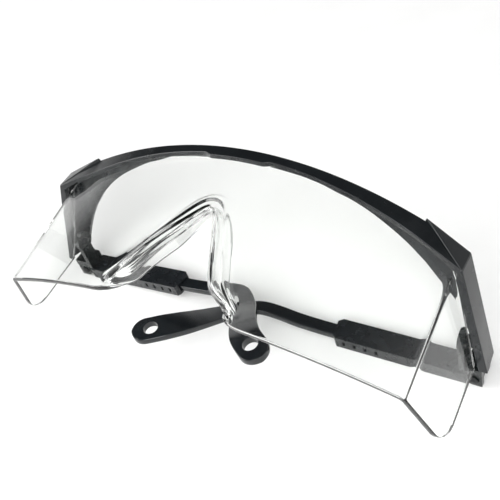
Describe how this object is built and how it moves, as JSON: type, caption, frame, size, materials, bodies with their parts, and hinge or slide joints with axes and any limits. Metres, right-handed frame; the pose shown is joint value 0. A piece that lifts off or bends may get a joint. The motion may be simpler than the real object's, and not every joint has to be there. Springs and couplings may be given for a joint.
{
  "type": "safety goggles",
  "caption": "Wraparound safety goggles with a clear one-piece lens, side shields, a black brow frame and folded telescoping temples that tilt at ratchet blocks.",
  "frame": {"origin": "middle of the bounding box from above, on the plane of the right temple's outer face", "axes": "+X across the face from the left temple hinge to the right one, +Y towards the brow, +Z out of the front of the lens"},
  "size_m": [0.153, 0.0512, 0.0575],
  "materials": {
    "clear_lens": "clear polished polycarbonate",
    "black_frame": "moulded nylon, glossy black",
    "black_block": "moulded nylon, glossy black",
    "black_temple": "moulded nylon, glossy black",
    "black_slide": "moulded nylon, satin to glossy black",
    "steel_pin": "blackened turned steel"
  },
  "bodies": {
    "root": {"lens": "clear_lens", "brow_frame": "black_frame"},
    "block_right": {"hinge_block_right": "black_block", "hinge_pin_right": "steel_pin"},
    "block_left": {"hinge_block_left": "black_block", "hinge_pin_left": "steel_pin"},
    "sleeve_right": {"temple_sleeve_right": "black_temple"},
    "sleeve_left": {"temple_sleeve_left": "black_temple"},
    "slide_right": {"temple_slide_right": "black_slide"},
    "slide_left": {"temple_slide_left": "black_slide"}
  },
  "joints": [
    {"name": "tilt_right", "type": "hinge", "parent": "root", "child": "block_right", "pos_m": [0.068, 0.00836, 0.0172], "axis": [1, 0, 0], "range_deg": [-8, 8]},
    {"name": "tilt_left", "type": "hinge", "parent": "root", "child": "block_left", "pos_m": [-0.068, 0.00836, 0.0172], "axis": [1, 0, 0], "range_deg": [-8, 8]},
    {"name": "fold_right", "type": "hinge", "parent": "block_right", "child": "sleeve_right", "pos_m": [0.0719, 0.00966, 0.0032], "axis": [0, -1, 0], "range_deg": [0, 95]},
    {"name": "fold_left", "type": "hinge", "parent": "block_left", "child": "sleeve_left", "pos_m": [-0.0719, 0.00966, 0.0032], "axis": [0, 1, 0], "range_deg": [0, 100]},
    {"name": "length_right", "type": "slide", "parent": "sleeve_right", "child": "slide_right", "axis": [-1, 0, 0], "range_m": [-0.004, 0.007]},
    {"name": "length_left", "type": "slide", "parent": "sleeve_left", "child": "slide_left", "axis": [0.9962, 0, 0.0872], "range_m": [-0.004, 0.007]}
  ]
}
